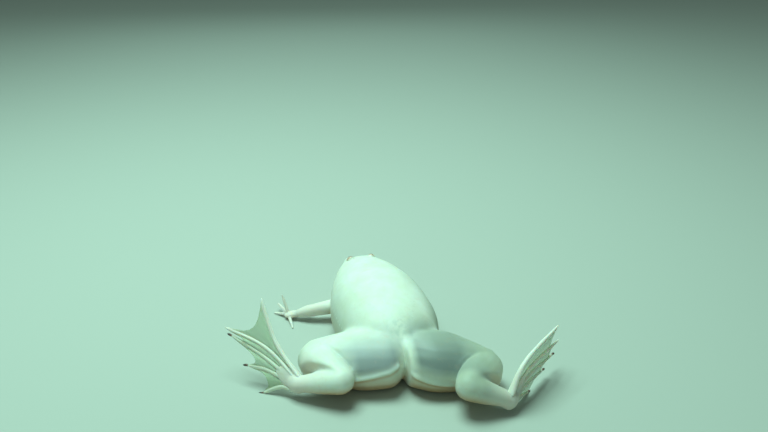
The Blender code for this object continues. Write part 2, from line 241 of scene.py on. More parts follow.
def edit_whole(obj: bpy.types.Object, operator: Callable[..., Any], **settings: Any) -> None:
    """Runs one edit-mode operator on a piece's whole mesh.

    Args:
        obj: the piece.
        operator: the operator.
        settings: its settings.
    """
    select_only(obj)
    bpy.ops.object.mode_set(mode="EDIT")
    bpy.ops.mesh.select_all(action="SELECT")
    operator(**settings)
    bpy.ops.object.mode_set(mode="OBJECT")


def apply_modifier(obj: bpy.types.Object, kind: str, **settings: Any) -> None:
    """Adds a modifier to obj, sets it and applies it.

    Args:
        obj: the piece.
        kind: Blender's name for the modifier.
        settings: its settings.
    """
    select_only(obj)
    modifier = obj.modifiers.new(kind.title(), kind)
    for key, value in settings.items():
        setattr(modifier, key, value)
    bpy.ops.object.modifier_apply(modifier=modifier.name)


def vectors(parts: Any, key: str) -> np.ndarray:
    """Reads one vector of each part of a mesh.

    Args:
        parts: the mesh's vertices or vertex normals.
        key: the vector's name.

    Returns:
        An array with a row for each part.
    """
    values = np.empty(len(parts) * 3)
    parts.foreach_get(key, values)
    return values.reshape(-1, 3)


def coordinates(obj: bpy.types.Object) -> np.ndarray:
    """Every vertex of obj as an N by 3 array in metres."""
    return vectors(obj.data.vertices, "co")


def normals(obj: bpy.types.Object) -> np.ndarray:
    """Every vertex normal of obj as an N by 3 array."""
    return vectors(obj.data.vertex_normals, "vector")


def move_vertices(obj: bpy.types.Object, co: np.ndarray) -> None:
    """Puts every vertex of obj at its row of co, in metres."""
    obj.data.vertices.foreach_set("co", co.astype(np.float32).ravel())
    obj.data.update()


def rest_on_floor(obj: bpy.types.Object) -> None:
    """Presses what would reach below the floor flat onto it.

    Args:
        obj: the piece.
    """
    co = coordinates(obj)
    co[:, 2] = np.maximum(co[:, 2], FLOOR_GAP * MM)
    move_vertices(obj, co)


def store_attribute(obj: bpy.types.Object, name: str, values: np.ndarray) -> None:
    """Stores one number for each vertex, which a material can read by name."""
    attribute = obj.data.attributes.new(name, "FLOAT", "POINT")
    attribute.data.foreach_set("value", values.astype(np.float32))


def finish_piece(obj: bpy.types.Object, material: bpy.types.Material, slot: str, *nodes: str) -> None:
    """Dresses a piece, lets it ride on the body and stand for its nodes.

    Args:
        obj: the piece.
        material: its finish.
        slot: not used.
        nodes: the solids it stands for.
    """
    obj.data.materials.clear()
    obj.data.materials.append(material)
    select_only(obj)
    bpy.ops.object.shade_smooth()
    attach(obj, ROOT_BODY)
    if nodes:
        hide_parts(*nodes)
    LOG.info("%s: %d faces", obj.name, len(obj.data.polygons))


class Graph:
    """A material's node tree, filled one node at a time."""

    def __init__(self, name: str) -> None:
        """Makes a plain material to fill.

        Args:
            name: the material's name.
        """
        self.material = bpy.data.materials.new(name)
        self.material.use_nodes = True
        self.tree = self.material.node_tree
        self.shader = self.tree.nodes["Principled BSDF"]

    def add(self, kind: str, links: dict[str | int, Any] | None = None, **settings: Any) -> Any:
        """Adds one node.

        Args:
            kind: the node's Blender type.
            links: input name or number to a socket or a plain value.
            settings: properties of the node.

        Returns:
            The node.
        """
        node = self.tree.nodes.new(kind)
        for key, value in settings.items():
            setattr(node, key, value)
        for key, value in (links or {}).items():
            if isinstance(value, bpy.types.NodeSocket):
                self.tree.links.new(value, node.inputs[key])
            else:
                node.inputs[key].default_value = value
        return node

    def set(self, **values: Any) -> None:
        """Sets or links the shader's own inputs.

        Args:
            values: a value or a socket for each input, whose name has underscores for spaces.
        """
        for key, value in values.items():
            socket = self.shader.inputs[key.replace("_", " ")]
            if isinstance(value, bpy.types.NodeSocket):
                self.tree.links.new(value, socket)
            else:
                socket.default_value = value


@dataclass(frozen=True)
class AlbinoSkin:
    """Wet, scaleless amphibian skin without dark pigment: soft, slightly see-through, finely grained.

    Vessels and pores are drawn coarser than in life, so that they show.
    """

    name: str = "albino_skin"
    back: str = "EEF2EA"
    flank: str = "E3E7D6"
    # painted shade on the undersides, brown with light thrown back from the ground
    belly: str = "C9A582"
    thin: str = "E7DCD2"
    # painted grey shade on the thighs' rear faces, which face away from the light
    thigh: str = "8F999E"
    blush: str = "DFC2AE"
    speck: str = "BCCBBF"
    dusk: str = "A2AD9C"
    grain_mm: float = 0.55
    cloud_mm: float = 7.0
    vessel_mm: float = 3.2
    speck_mm: float = 2.3
    pore_mm: float = 0.35
    depth: float = 0.4

    def build(self) -> bpy.types.Material:
        """Builds the material.

        Returns:
            A material that reads the attributes under, thigh, thin, dusk and specks of the piece.
        """
        g = Graph(self.name)
        where = g.add("ShaderNodeTexCoord").outputs["Object"]
        zones = {
            zone: g.add("ShaderNodeAttribute", attribute_name=zone).outputs["Fac"]
            for zone in ("under", "thigh", "thin", "dusk", "specks")
        }
        # soft clouds in the flesh, small vessels, left-over pigment on the rump, and pores
        noise = {
            pattern: g.add(
                "ShaderNodeTexNoise", {"Vector": where, "Scale": repeats(size), **settings}
            ).outputs["Fac"]
            for pattern, size, settings in (
                ("clouds", self.cloud_mm, {"Detail": 4.0, "Roughness": 0.55}),
                ("vessels", self.vessel_mm, {"Detail": 6.0, "Roughness": 0.6, "Distortion": 1.2}),
                ("dots", self.speck_mm, {"Detail": 3.0}),
                ("pores", self.pore_mm, {"Detail": 3.0}),
            )
        }
        # two near whites mix in the clouds, the vessels show as a faint warm blush, the specks are
        # grey, and the wet gloss is uneven
        clouds, blush, dark, gloss = (
            g.add(
                "ShaderNodeMapRange",
                {"Value": noise[pattern], "From Min": low, "From Max": high, "To Min": least, "To Max": most},
            ).outputs["Result"]
            for pattern, low, high, least, most in (
                ("clouds", 0.35, 0.68, 0.0, 0.65), ("vessels", 0.55, 0.8, 0.0, 0.35),
                ("dots", 0.48, 0.7, 0.0, 0.55), ("clouds", 0.3, 0.7, 0.42, 0.58),
            )
        )
        specks = g.add("ShaderNodeMath", {0: dark, 1: zones["specks"]}, operation="MULTIPLY").outputs[0]
        # each colour lies over those before it; only the shaded legs and flanks darken them instead
        colour = linear(self.flank)
        for share, tint, blend in (
            (clouds, self.back, "MIX"),
            # painted shade below, brown with light thrown back from the ground
            (zones["under"], self.belly, "MIX"),
            # painted grey shade on the thighs' rear faces
            (zones["thigh"], self.thigh, "MIX"),
            (zones["thin"], self.thin, "MIX"),
            (blush, self.blush, "MIX"),
            (zones["dusk"], self.dusk, "MULTIPLY"),
            (specks, self.speck, "MIX"),
        ):
            sockets = {0: share, 6: colour, 7: linear(tint)}
            colour = g.add("ShaderNodeMix", sockets, data_type="RGBA", blend_type=blend).outputs[2]
        # grain of low warts and pores, which breaks up the wet highlight
        warts = g.add(
            "ShaderNodeTexVoronoi", {"Vector": where, "Scale": repeats(self.grain_mm)}, feature="SMOOTH_F1"
        ).outputs["Distance"]
        relief = g.add("ShaderNodeMath", {0: warts, 1: noise["pores"]}, operation="ADD")
        bump = g.add("ShaderNodeBump", {"Height": relief.outputs[0], "Strength": 0.16, "Distance": 0.00006})
        g.set(
            Base_Color=colour, Roughness=gloss, Normal=bump.outputs["Normal"], IOR=FLESH_IOR,
            Coat_Weight=0.06, Coat_Roughness=0.3,
            Subsurface_Weight=self.depth, Subsurface_Radius=(1.0, 0.75, 0.5), Subsurface_Scale=0.003,
        )
        return g.material


@dataclass(frozen=True)
class WebMembrane:
    """Toes of skin over bone with a thin elastic web between them, which lets light through."""

    name: str = "web_membrane"
    toe: str = "F2EDE1"
    web: str = "ADC79A"
    vein: str = "CDB8A2"
    web_alpha: float = 0.38
    vein_mm: float = 3.846
    wrinkle_mm: float = 0.4545

    def build(self) -> bpy.types.Material:
        """Builds the material.

        Returns:
            A material that reads the attribute toe of the piece.
        """
        g = Graph(self.name)
        where = g.add("ShaderNodeTexCoord").outputs["Object"]
        toe = g.add("ShaderNodeAttribute", attribute_name="toe").outputs["Fac"]
        veins = g.add(
            "ShaderNodeTexNoise",
            {"Vector": where, "Scale": repeats(self.vein_mm), "Detail": 5.0, "Distortion": 1.0},
        ).outputs["Fac"]
        faint = g.add(
            "ShaderNodeMapRange", {"Value": veins, "From Min": 0.5, "From Max": 0.78, "To Max": 0.28}
        )
        colour = linear(self.web)
        for share, tint in ((faint.outputs["Result"], self.vein), (toe, self.toe)):
            sockets = {0: share, 6: colour, 7: linear(tint)}
            colour = g.add("ShaderNodeMix", sockets, data_type="RGBA").outputs[2]
        # the web is see-through and the toes are not
        alpha = g.add("ShaderNodeMapRange", {"Value": toe, "To Min": self.web_alpha, "To Max": 1.0})
        wrinkles = g.add(
            "ShaderNodeTexNoise", {"Vector": where, "Scale": repeats(self.wrinkle_mm), "Detail": 3.0}
        ).outputs["Fac"]
        bump = g.add("ShaderNodeBump", {"Height": wrinkles, "Strength": 0.2, "Distance": 0.00008})
        g.set(
            Base_Color=colour, Alpha=alpha.outputs["Result"], Normal=bump.outputs["Normal"],
            Roughness=0.4, IOR=FLESH_IOR, Subsurface_Weight=0.5, Subsurface_Radius=(1.0, 0.7, 0.5),
            Subsurface_Scale=0.0015, Coat_Weight=0.1, Coat_Roughness=0.25,
        )
        return g.material


@dataclass(frozen=True)
class EyeFinish:
    """An eye without dark pigment: blood shows red through the pupil and pink through the iris."""

    name: str = "albino_eye"
    stops: tuple[tuple[float, str], ...] = (
        (0.0, "92302A"), (0.3, "92302A"),  # the pupil
        (0.35, "F4DEC2"),  # a pale ring round it
        (0.43, "E4C2AC"), (0.80, "E4C2AC"),  # the iris
        (0.92, "E6E6D8"),  # the white
    )
    fibre_mm: float = 0.4167

    def build(self) -> bpy.types.Material:
        """Builds the material.

        Returns:
            A material that reads the attribute reach: 0 on the eye's axis, 1 at its widest.
        """
        g = Graph(self.name)
        reach = g.add("ShaderNodeAttribute", attribute_name="reach").outputs["Fac"]
        where = g.add("ShaderNodeTexCoord").outputs["Object"]
        fibres = g.add(
            "ShaderNodeTexNoise", {"Vector": where, "Scale": repeats(self.fibre_mm), "Detail": 4.0}
        ).outputs["Fac"]
        # the fibres fray the edges of the rings
        jitter = g.add("ShaderNodeMath", {0: fibres, 1: 0.06, 2: reach}, operation="MULTIPLY_ADD")
        ramp = g.add("ShaderNodeValToRGB", {"Fac": jitter.outputs[0]})
        elements = ramp.color_ramp.elements
        while len(elements) < len(self.stops):
            elements.new(0.5)
        for element, (at, code) in zip(elements, self.stops):
            element.position = at
            element.color = linear(code)
        g.set(
            Base_Color=ramp.outputs["Color"], Roughness=0.25, IOR=FLESH_IOR,
            Coat_Weight=0.6, Coat_Roughness=0.04,
        )
        return g.material


@dataclass(frozen=True)
class Cornea:
    """The clear, wet front of the eye, which carries the sharp highlight."""

    name: str = "cornea"
    tint: str = "FFF6F0"

    def build(self) -> bpy.types.Material:
        """Builds the material.

        Returns:
            The material.
        """
        g = Graph(self.name)
        g.set(Base_Color=linear(self.tint), Roughness=0.03, IOR=1.376, Transmission_Weight=1.0, Alpha=0.4)
        return g.material


@dataclass(frozen=True)
class ClawHorn:
    """Dark horn, dense and slightly polished, paler where it leaves the toe."""

    name: str = "claw_horn"
    base: str = "8A5E4A"
    tip: str = "3A211B"
    streak_mm: float = 0.5556

    def build(self) -> bpy.types.Material:
        """Builds the material.

        Returns:
            A material that reads the attribute along: 0 at the base, 1 at the tip.
        """
        g = Graph(self.name)
        along = g.add("ShaderNodeAttribute", attribute_name="along").outputs["Fac"]
        where = g.add("ShaderNodeTexCoord").outputs["Object"]
        streaks = g.add(
            "ShaderNodeTexNoise", {"Vector": where, "Scale": repeats(self.streak_mm), "Detail": 3.0}
        ).outputs["Fac"]
        shift = g.add("ShaderNodeMath", {0: streaks, 1: 0.3, 2: along}, operation="MULTIPLY_ADD")
        fade = g.add("ShaderNodeMapRange", {"Value": shift.outputs[0], "From Min": 0.15, "From Max": 0.65})
        sockets = {0: fade.outputs["Result"], 6: linear(self.base), 7: linear(self.tip)}
        colour = g.add("ShaderNodeMix", sockets, data_type="RGBA")
        g.set(Base_Color=colour.outputs[2], Roughness=0.28, IOR=1.54)
        return g.material


@dataclass(frozen=True)
class FloorFinish:
    """A plain matt studio floor."""

    name: str = "matt_floor"
    colour: str = "B9BDB4"

    def build(self) -> bpy.types.Material:
        """Builds the material.

        Returns:
            The material.
        """
        g = Graph(self.name)
        g.set(Base_Color=linear(self.colour), Roughness=0.8)
        return g.material


@dataclass(frozen=True)
class Knob:
    """A rounded lump of flesh that fills the joint between two pieces."""

    middle: Vector
    turn: Matrix
    half_sizes: Point
    segments: int = 24
    rings: int = 16

    def build(self) -> bpy.types.Object:
        """Builds the lump from a sphere, drawn out and turned.

        Returns:
            The lump.
        """
        knob = primitive(
            bpy.ops.mesh.primitive_uv_sphere_add, "knob",
            segments=self.segments, ring_count=self.rings, radius=MM,
        )
        drawn_out = Matrix.Diagonal((*self.half_sizes, 1.0))
        knob.data.transform(Matrix.Translation(self.middle) @ self.turn.to_4x4() @ drawn_out)
        return knob


@dataclass(frozen=True)
class Growth:
    """How solids of flesh are grown over their gaps, wrapped in one surface and drawn back to size."""

    grow: float
    voxel: float
    smooth_steps: int
    surplus: float

    def wrap(
        self, name: str, solids: Sequence[bpy.types.Object], knobs: Sequence[Knob]
    ) -> bpy.types.Object:
        """Wraps copies of the solids and the knobs at their joints.

        Args:
            name: the skin's name.
            solids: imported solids, which stay as they are.
            knobs: the lumps that join them.

        Returns:
            The skin.
        """
        copies = [duplicate(solid) for solid in solids]
        skin = join(name, copies + [knob.build() for knob in knobs])
        for key in list(skin.keys()):
            del skin[key]
        edit_whole(skin, bpy.ops.mesh.remove_doubles, threshold=MERGE_GAP * MM)
        apply_modifier(skin, "DISPLACE", strength=self.grow * MM, mid_level=0.0)
        apply_modifier(skin, "REMESH", mode="VOXEL", voxel_size=self.voxel * MM)
        apply_modifier(skin, "SMOOTH", factor=0.5, iterations=self.smooth_steps)
        apply_modifier(skin, "DISPLACE", strength=(self.surplus - self.grow) * MM, mid_level=0.0)
        return skin


@dataclass
class WebbedFoot:
    """One hind foot: five toes raised in a thin sheet of web, fanned out in one plane."""

    side: Side
    instep: Point
    facing: tuple[float, float]  # degrees from the rear that its plane faces to the right, and upwards
    # the middle and tip of each toe, innermost first, outward and upward of the instep in that plane
    toes: tuple[tuple[tuple[float, float], tuple[float, float]], ...]
    toe_rows: tuple[Point, ...] = (
        (0.0, 0.6, 1.1), (0.06, 0.85, 1.7), (0.14, 1.0, 1.5), (0.3, 0.92, 1.05), (0.42, 1.05, 1.05),
        (0.56, 0.86, 0.86), (0.68, 0.88, 0.88), (0.8, 0.74, 0.74), (0.92, 0.62, 0.64), (1.0, 0.38, 0.42),
    )  # fraction along a toe, half its width and half its height
    spacing: float = 1.45
    tip_from: float = 0.965
    tip_width: float = 0.35
    toe_flesh_to: float = 0.4
    toe_shares: tuple[float, ...] = (0.72, 0.72, 0.76, 0.95, 1.0)
    across_toe: tuple[float, ...] = (-1.0, -0.8, -0.45, 0.0, 0.45, 0.8, 1.0)
    web_half: float = 0.25
    web_reach: tuple[Point, ...] = (
        (0.80, 0.76, 0.10), (0.88, 0.80, 0.12), (0.88, 0.84, 0.08), (0.80, 0.95, 0.10),
    )  # how far out each web meets its two toes, and how deep its edge hangs between them
    web_flesh_to: float = 0.3
    across_web: tuple[float, ...] = (0.08, 0.2, 0.35, 0.5, 0.65, 0.8, 0.92)
    billow: float = 1.2
    fold_height: float = 0.12
    half_folds: int = 5
    root_half: float = 2.1
    root_span: float = 0.2
    root_start: float = 0.45
    root_swell: float = 0.08
    rows: int = 56
    smooth_steps: int = 2
    ankle_size: Point = (5.0, 3.3, 4.0)
    sole_size: Point = (9.0, 1.35, 4.5)
    sole_ahead: float = 4.2
    probe: float = 0.02

    def frame(self) -> tuple[Vector, Vector, Vector]:
        """Works out the foot's plane.

        Returns:
            Its outward, upward and facing directions.
        """
        turn, rise = (math.radians(v) for v in self.facing)
        facing = Vector((math.sin(turn) * math.cos(rise), -math.cos(turn) * math.cos(rise), math.sin(rise)))
        outward = Vector((facing.y, -facing.x, 0.0)).normalized()
        if outward.x * self.side.sign < 0:
            outward.negate()
        upward = outward.cross(facing)
        if upward.z < 0:
            upward.negate()
        return outward, upward, facing

    def toe_point(self, k: int, v: float) -> tuple[Vector, Vector]:
        """Follows one toe.

        Args:
            k: the toe, 0 for the innermost.
            v: the fraction along it.

        Returns:
            The toe's middle there, in millimetres from the vent, and the way it runs.
        """
        outward, upward, _ = self.frame()
        forward = sum((Vector(t[0]) for t in self.toes), Vector((0, 0))).normalized()
        sideways = Vector((-forward.y, forward.x)) * self.spacing
        root = sideways * (k - len(self.toes) // 2) - forward
        mid, tip = (Vector(p) for p in self.toes[k])
        first, second = (mid - root).length, (tip - mid).length
        rows = ((0.0, *root), (first / (first + second), *mid), (1.0, *tip))
        before, after = max(0.0, v - self.probe), min(1.0, v + self.probe)
        flat, near, far = (Vector(spline(rows, t)) for t in (v, before, after))
        along = (far - near).normalized()
        point = Vector(self.instep) + outward * flat.x + upward * flat.y
        return point, outward * along.x + upward * along.y

    def forward(self) -> Vector:
        """The way the base of the foot points."""
        return sum((self.toe_point(k, 0.0)[1] for k in range(len(self.toes))), Vector()).normalized()

    def turn(self) -> Matrix:
        """Turns X to the way the foot points, Y square to its web and Z across it."""
        forward, facing = self.forward(), self.frame()[2]
        return Matrix((forward, facing, forward.cross(facing))).transposed()

    def ankle(self) -> Knob:
        """The lump where the tarsus meets the foot."""
        return Knob(place(*self.instep), self.turn(), self.ankle_size)

    def sole(self) -> Knob:
        """The thin pad from which the toes fan out."""
        middle = Vector(self.instep) + self.forward() * self.sole_ahead
        return Knob(place(*middle), self.turn(), self.sole_size)

    def root(self, v: float) -> float:
        """Reads how thick the foot's fleshy base is.

        Args:
            v: the fraction along a toe.

        Returns:
            Half the thickness there.
        """
        if v >= self.root_span:
            return 0.0
        swell = min(1.0, self.root_start + v / self.root_swell)
        return self.root_half * (1 - v / self.root_span) * swell

    def columns(self) -> list[list[tuple[Vector, float, float]]]:
        """Works out the sheet.

        Returns:
            Columns across the fan; each row has a point, half the thickness there, and how much it is toe.
        """
        _, upward, facing = self.frame()
        table: dict[tuple[int, float], tuple[Vector, Vector]] = {}
        fractions = [r / self.rows for r in range(self.rows + 1)]

        def toe_at(k: int, v: float) -> tuple[Vector, Vector]:
            """Follows one toe and keeps what it finds.

            Args:
                k: the toe.
                v: the fraction along it.

            Returns:
                The toe's middle there, and the way across it.
            """
            if (k, v) not in table:
                point, along = self.toe_point(k, v)
                sideways = facing.cross(along).normalized()
                table[k, v] = (point, sideways if sideways.dot(upward) > 0 else -sideways)
            return table[k, v]

        columns = []
        for k in range(len(self.toes)):
            for offset in self.across_toe:
                column = []
                for v in fractions:
                    point, sideways = toe_at(k, v)
                    wide, tall = spline(self.toe_rows, v)
                    past = max(0.0, (v - self.tip_from) / (1 - self.tip_from))
                    end = math.sqrt(max(0.0, 1 - past ** 2))
                    half = max(self.web_half, tall * end * math.sqrt(max(0.0, 1 - offset * offset)))
                    reach = wide * (self.tip_width + (1 - self.tip_width) * end)
                    share = max(self.toe_shares[k], 1 - v / self.toe_flesh_to)
                    column.append((point + sideways * (reach * offset), max(half, self.root(v)), share))
                columns.append(column)
            if k == len(self.toes) - 1:
                break
            first, second, sag = self.web_reach[k]
            for w in self.across_web:
                bulge = 4 * w * (1 - w)
                column = []
                for v in fractions:
                    v_low, v_high = v * (first - sag * bulge), v * (second - sag * bulge)
                    low, up = toe_at(k, v_low)
                    high, down = toe_at(k + 1, v_high)
                    low = low + up * spline(self.toe_rows, v_low)[0]
                    high = high - down * spline(self.toe_rows, v_high)[0]
                    # the web gathers in fine folds that run out from the toes' roots
                    fold = self.fold_height * math.sin(w * math.pi * self.half_folds) * v
                    point = low.lerp(high, w) + facing * (self.billow * bulge * v * v + fold)
                    flesh = max(0.0, 1 - v / self.web_flesh_to)
                    column.append((point, max(self.web_half, self.root(v)), flesh))
                columns.append(column)
        return columns

    def build(self, material: bpy.types.Material) -> None:
        """Builds and dresses the foot.

        Args:
            material: the web's and toes' finish.
        """
        columns = self.columns()
        obj = primitive(
            bpy.ops.mesh.primitive_grid_add, f"foot_{self.side.value}_fan",
            x_subdivisions=len(columns) - 1, y_subdivisions=self.rows, size=MM,
        )
        flat = coordinates(obj).round(9)
        xs, ys = ({v: i for i, v in enumerate(sorted(set(flat[:, axis])))} for axis in (0, 1))
        co, half, toe = np.zeros(flat.shape), np.zeros(len(flat)), np.zeros(len(flat))
        for i, (x, y, _) in enumerate(flat):
            point, half[i], toe[i] = columns[xs[x]][ys[y]]
            co[i] = place(*point)
        move_vertices(obj, co)
        store_attribute(obj, "toe", toe)
        widest = float(half.max())
        group = obj.vertex_groups.new(name="thickness")
        for i, value in enumerate(half):
            group.add([i], float(value / widest), "REPLACE")
        apply_modifier(
            obj, "SOLIDIFY", thickness=2 * widest * MM, offset=0.0, vertex_group="thickness",
            use_even_offset=False,
        )
        edit_whole(obj, bpy.ops.mesh.normals_make_consistent, inside=False)
        rest_on_floor(obj)
        apply_modifier(obj, "SMOOTH", factor=0.5, iterations=self.smooth_steps)
        finish_piece(obj, material, "web", f"foot_{self.side.value}")


@dataclass
class ToeClaw:
    """The horny cap on the tip of an inner toe, curved down to a blunt point."""

    foot: WebbedFoot
    toe: int
    length: float = 2.4
    radius: float = 0.56
    base_share: float = 0.86
    swell: float = 0.3
    bluntness: float = 2.2
    tip_radius: float = 0.06
    droop: float = 0.18
    overlap: float = 0.45
    sides: int = 16
    rings: int = 10

    def build(self, material: bpy.types.Material) -> None:
        """Builds and dresses the claw.

        Args:
            material: the horn's finish.
        """
        point, along = self.foot.toe_point(self.toe, 1.0)
        node = f"claw_{self.foot.side.value}_{self.toe + 1}"
        obj = primitive(
            bpy.ops.mesh.primitive_cylinder_add, f"{node}_horn",
            vertices=self.sides, radius=1.0, depth=1.0, end_fill_type="TRIFAN",
        )
        for cut in range(1, self.rings):
            height = cut / self.rings - 0.5
            edit_whole(obj, bpy.ops.mesh.bisect, plane_co=(0, 0, height), plane_no=(0, 0, 1))
        co = coordinates(obj)
        f = co[:, 2] + 0.5
        taper = np.sqrt(np.clip(1 - f ** self.bluntness, 0.0, 1))
        size = self.radius * taper * (self.base_share + self.swell * np.sin(f * math.pi) ** 2)
        size = np.maximum(size, self.tip_radius)
        side_way = along.orthogonal().normalized()
        up = along.cross(side_way)
        reach = -self.overlap + f * (self.length + self.overlap)
        out = np.array(point) + np.outer(reach, along)
        out[:, 2] -= self.droop * self.length * f ** 2
        out += np.outer(co[:, 0] * size, side_way) + np.outer(co[:, 1] * size, up)
        out[:, 1] -= VENT_TO_BELLY
        move_vertices(obj, out * MM)
        rest_on_floor(obj)
        store_attribute(obj, "along", f)
        edit_whole(obj, bpy.ops.mesh.normals_make_consistent, inside=False)
        finish_piece(obj, material, "claw", node)


@dataclass
class Hand:
    """A small hand with four thin, unwebbed fingers."""

    side: Side
    wrist: Point
    elbow: Point
    growth: Growth = Growth(grow=0.25, voxel=0.22, smooth_steps=8, surplus=0.06)
    knob_size: Point = (3.2, 2.15, 1.9)
    knob_back: float = 0.2
    stub_size: Point = (2.85, 2.185, 1.71)
    stub_on: float = 0.3
    thin_share: float = 0.85

    def onwards(self) -> Vector:
        """The way from the elbow to the wrist."""
        return (Vector(self.wrist) - Vector(self.elbow)).normalized()

    def turn(self) -> Matrix:
        """Turns X along the forearm."""
        return self.onwards().to_track_quat("X", "Z").to_matrix()

    def knob(self) -> Knob:
        """The lump in which the forearm's skin ends."""
        middle = Vector(self.wrist) - self.onwards() * self.knob_back
        return Knob(place(*middle), self.turn(), self.knob_size)

    def stub(self) -> Knob:
        """The lump by which the hand runs on into the forearm's skin."""
        middle = Vector(self.wrist) + self.onwards() * self.stub_on
        return Knob(place(*middle), self.turn(), self.stub_size, segments=20, rings=12)

    def build(self, nodes: dict[str, bpy.types.Object], material: bpy.types.Material) -> None:
        """Builds the hand from its solid and its stub.

        Args:
            nodes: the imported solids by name.
            material: the skin's finish.
        """
        name = f"hand_{self.side.value}"
        hand = self.growth.wrap(f"{name}_skin", [nodes[name]], [self.stub()])
        rest_on_floor(hand)
        store_attribute(hand, "thin", np.full(len(hand.data.vertices), self.thin_share))
        finish_piece(hand, material, "limb_skin", name)


@dataclass(frozen=True)
class SkinZones:
    """Where the skin is thin and pink, has painted grey shade on the thighs' rear faces, lies in shade, is
    speckled, or has painted shade below, brown with light thrown back from the ground.

    Ramps read millimetres to the right (x), forward (y) and up (z), or how far a normal points
    forward or up.
    """

    arm_y: float = 60.0
    flank_narrows: float = 0.35
    arm_out: Ramp = Ramp(22.5, 27.5)
    arm_ahead: Ramp = Ramp(55, 59)
    foot_near: Ramp = Ramp(18, 3)
    snout_ahead: Ramp = Ramp(84, 90)
    snout_thin: float = 0.25
    thin_most: float = 0.85
    # ramps and shares of the painted grey shade on the thighs' rear faces
    rear_shade_ahead: Ramp = Ramp(12, 2)
    rear_shade_forward: Ramp = Ramp(1, -0.6667)
    rear_shade_top: Ramp = Ramp(29, 20)
    right_higher: float = 2.0
    rear_shade_out: Ramp = Ramp(34, 22)
    middle_x: float = 0.5
    left_cleft: Ramp = Ramp(1, 7)
    right_cleft: Ramp = Ramp(0.6, 4.1)
    ankle_clear: Ramp = Ramp(6.5, 9)
    ankles: tuple[Point, ...] = ((-31.6, -9.8, 11.6), (21.0, -30.4, 13.2))
    fold_far_x: float = 24.0
    fold_rise: float = 0.16
    above_fold: Ramp = Ramp(10, 14)
    left_rear_shade: float = 0.78
    right_rear_shade: float = 0.82
    shade_out: Ramp = Ramp(2, 13)
    shade_inner: Ramp = Ramp(0.6, 4.1)
    inner_forward: Ramp = Ramp(0.3333, -0.5)
    inner_top: Ramp = Ramp(26, 21)
    shade_ahead: Ramp = Ramp(15, 7)
    shade_up: Ramp = Ramp(0, 0.857)
    shade_least: float = 0.35
    shade_gain: float = 0.6
    shade_most: float = 0.7
    foot_spared: float = 0.6
    flank_out: Ramp = Ramp(14, 20)
    flank_back: Ramp = Ramp(10, 16)
    flank_front: Ramp = Ramp(68, 42)
    flank_up: Ramp = Ramp(0.95, 0.2357)
    left_flank: float = 0.45
    right_flank: float = 0.8
    speck_at: Point = (0.5, 4.0, 26.0)
    speck_reach: Point = (8.0, 9.0, 8.0)
    speck_near: Ramp = Ramp(1.3, 0.3)
    # ramps of the painted brown shade on the undersides of the legs and trunk
    leg_ahead: Ramp = Ramp(8, 0)
    leg_under_shade: Ramp = Ramp(0.1, -0.5667)
    trunk_under_shade: Ramp = Ramp(0.3, -1)
    trunk_most: float = 0.91

    def store(self, skin: bpy.types.Object, insteps: Sequence[Point]) -> None:
        """Stores the zones as attributes.

        Args:
            skin: the body's skin.
            insteps: where the feet begin.
        """
        across, ahead, _ = body_measure(coordinates(skin))
        co = coordinates(skin) / MM
        co[:, 1] += VENT_TO_BELLY
        _, forward, up = normals(skin).T
        out_of_trunk = np.abs(across) + self.flank_narrows * (ahead - self.arm_y)
        arms = self.arm_out(out_of_trunk) * self.arm_ahead(ahead)
        feet = np.maximum.reduce([self.foot_near(distance(co, instep)) for instep in insteps])
        snout = self.snout_thin * self.snout_ahead(ahead)
        flank = self.flank_out(np.abs(across)) * self.flank_back(ahead) * self.flank_front(ahead)
        flank *= self.flank_up(up) * np.where(co[:, 0] > 0, self.right_flank, self.left_flank)
        leg_shade = self.leg_shade(co, forward, up) * (1 - self.foot_spared * feet)
        # painted shade on the undersides of the trunk and legs, brown with light thrown back from the ground
        leg = self.leg_ahead(co[:, 1])
        trunk = self.trunk_most * self.trunk_under_shade(up)
        zones = {
            "thin": np.clip(np.maximum(arms, feet) + snout, 0, 1) * self.thin_most,
            "dusk": np.maximum(leg_shade, flank) * (1 - arms),
            # painted grey shade on the thighs' rear faces
            "thigh": self.rear_shade(co, forward) * (1 - feet),
            "specks": self.speck_near(np.linalg.norm((co - self.speck_at) / self.speck_reach, axis=1)),
            "under": (trunk * (1 - leg) + self.leg_under_shade(up) * leg) * (1 - arms),
        }
        for name, share in zones.items():
            store_attribute(skin, name, share)

    def rear_shade(self, co: np.ndarray, forward: np.ndarray) -> np.ndarray:
        """Painted grey shade on the rear faces of each thigh, which face away from the light.

        Args:
            co: places of the vertices.
            forward: how far their normals point forward.

        Returns:
            The painted shade's share at each vertex.
        """
        x, y, z = co.T
        right = x > 0
        rear = self.rear_shade_ahead(y) * self.rear_shade_forward(forward)
        rear *= self.rear_shade_top(z - np.where(right, self.right_higher, 0)) * self.rear_shade_out(np.abs(x))
        off = np.abs(x - self.middle_x)
        rear *= np.where(right, self.right_cleft(off), self.left_cleft(off))
        for ankle in self.ankles:
            rear *= self.ankle_clear(distance(co, ankle))
        rear *= self.above_fold(z - self.fold_rise * (self.fold_far_x - np.abs(x)))
        return rear * np.where(right, self.right_rear_shade, self.left_rear_shade)

    def leg_shade(self, co: np.ndarray, forward: np.ndarray, up: np.ndarray) -> np.ndarray:
        """The shade on the right leg, which the light reaches least.

        Args:
            co: places of the vertices.
            forward: how far their normals point forward.
            up: how far they point up.

        Returns:
            The shade's share at each vertex.
        """
        x, y, z = co.T
        inner = self.shade_inner(x) * self.inner_forward(forward) * self.inner_top(z)
        lit = self.shade_least + self.shade_gain * self.shade_up(up)
        return self.shade_most * np.maximum(self.shade_out(x), inner) * self.shade_ahead(y) * lit


